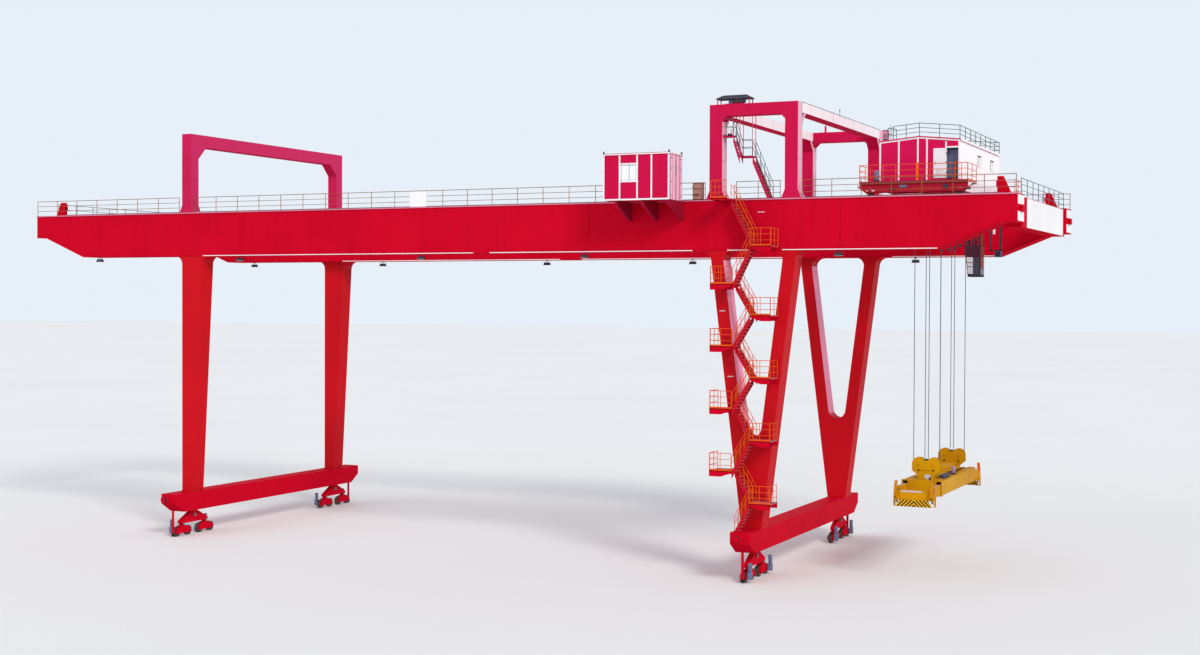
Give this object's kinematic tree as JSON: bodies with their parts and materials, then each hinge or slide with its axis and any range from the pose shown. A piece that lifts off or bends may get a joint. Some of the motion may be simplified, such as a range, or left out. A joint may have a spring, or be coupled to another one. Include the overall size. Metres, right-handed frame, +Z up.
{
  "type": "1:2 scale model of a rail mounted container gantry crane",
  "caption": "Cantilevered double girder gantry with V legs, portal frames, stairs, electrical house, trolley with cab and a telescopic container spreader.",
  "frame": {"origin": "middle of the floor area under the crane, at wheel flange level", "axes": "+X along the main girders towards the V legs and the trolley, +Y from the front girder to the rear girder, +Z up"},
  "size_m": [35.46, 11.8, 14.285],
  "materials": {
    "crane_red": "semi-gloss paint",
    "rail_yellow": "semi-gloss paint",
    "spreader_yellow": "semi-gloss paint",
    "flipper_orange": "semi-gloss paint",
    "dark_paint": "satin paint",
    "brown_paint": "satin paint",
    "trim_white": "satin paint",
    "cab_white": "satin paint",
    "grating": "satin paint",
    "rail_steel": "rolled",
    "wheel_steel": "machined tread",
    "rope_steel": "greased wire",
    "window_glass": "clear"
  },
  "bodies": {
    "crane": {"front_girder": "crane_red", "rear_girder": "crane_red", "end_ties": "crane_red", "trolley_rails": "rail_steel", "end_stops": "crane_red", "front_handrail": "rail_yellow", "rear_handrail": "rail_yellow", "end_handrails": "rail_yellow", "left_portal_columns": "crane_red", "left_portal_beam": "crane_red", "right_portal_front": "crane_red", "right_portal_rear": "crane_red", "right_portal_side_beams": "crane_red", "hoist_canopy": "dark_paint", "left_front_leg": "crane_red", "left_rear_leg": "crane_red", "right_front_leg": "crane_red", "right_rear_leg": "crane_red", "left_sill_beam": "crane_red", "right_sill_beam": "crane_red", "bogies": "crane_red", "ground_wheels": "wheel_steel", "e_house_walls": "crane_red", "e_house_roof": "crane_red", "e_house_window": "window_glass", "e_house_battens": "trim_white", "e_house_brackets": "crane_red", "utility_cabinet": "brown_paint", "sign_board": "trim_white", "floodlights": "dark_paint", "stair_stringers": "crane_red", "stair_treads": "grating", "stair_landings": "crane_red", "stair_handrails": "rail_yellow"},
    "trolley": {"trolley_frame": "crane_red", "trolley_wheels": "wheel_steel", "trolley_deck": "crane_red", "trolley_handrails": "rail_yellow", "machinery_house_walls": "crane_red", "machinery_house_roof": "crane_red", "machinery_house_battens": "trim_white", "machinery_house_door": "trim_white", "roof_handrail": "dark_paint", "trolley_glass": "window_glass", "cab_body": "cab_white", "cab_hanger": "dark_paint", "hoist_ropes": "rope_steel"},
    "spreader": {"head_block": "spreader_yellow", "sheaves": "wheel_steel", "spreader_frame": "spreader_yellow"},
    "front_end": {"front_spreader_end": "spreader_yellow"},
    "rear_end": {"rear_spreader_end": "spreader_yellow"},
    "flipper_fl": {"front_left_flipper": "flipper_orange"},
    "flipper_fr": {"front_right_flipper": "flipper_orange"},
    "flipper_rl": {"rear_left_flipper": "flipper_orange"},
    "flipper_rr": {"rear_right_flipper": "flipper_orange"}
  },
  "joints": [
    {"name": "trolley_travel", "type": "slide", "parent": "crane", "child": "trolley", "axis": [1, 0, 0], "range_m": [-29.86, 0.66]},
    {"name": "hoist", "type": "slide", "parent": "trolley", "child": "spreader", "axis": [0, 0, 1], "range_m": [-1.8, 6.2], "deforming": ["hoist_ropes"]},
    {"name": "front_telescope", "type": "slide", "parent": "spreader", "child": "front_end", "axis": [0, 1, 0], "range_m": [0, 0.7]},
    {"name": "rear_telescope", "type": "slide", "parent": "spreader", "child": "rear_end", "axis": [0, -1, 0], "range_m": [0, 0.7]},
    {"name": "flipper_front_left", "type": "hinge", "parent": "front_end", "child": "flipper_fl", "pos_m": [13.95, -3.26, 2.555], "axis": [1, 0, 0], "range_deg": [0, 178]},
    {"name": "flipper_front_right", "type": "hinge", "parent": "front_end", "child": "flipper_fr", "pos_m": [15.01, -3.26, 2.555], "axis": [1, 0, 0], "range_deg": [0, 178]},
    {"name": "flipper_rear_left", "type": "hinge", "parent": "rear_end", "child": "flipper_rl", "pos_m": [13.95, 3.26, 2.555], "axis": [-1, 0, 0], "range_deg": [0, 178]},
    {"name": "flipper_rear_right", "type": "hinge", "parent": "rear_end", "child": "flipper_rr", "pos_m": [15.01, 3.26, 2.555], "axis": [-1, 0, 0], "range_deg": [0, 178]}
  ],
  "couplings": [
    {"joint": "rear_telescope", "follows": "front_telescope", "ratio": 1},
    {"joint": "flipper_front_right", "follows": "flipper_front_left", "ratio": 1},
    {"joint": "flipper_rear_left", "follows": "flipper_front_left", "ratio": 1},
    {"joint": "flipper_rear_right", "follows": "flipper_front_left", "ratio": 1}
  ]
}
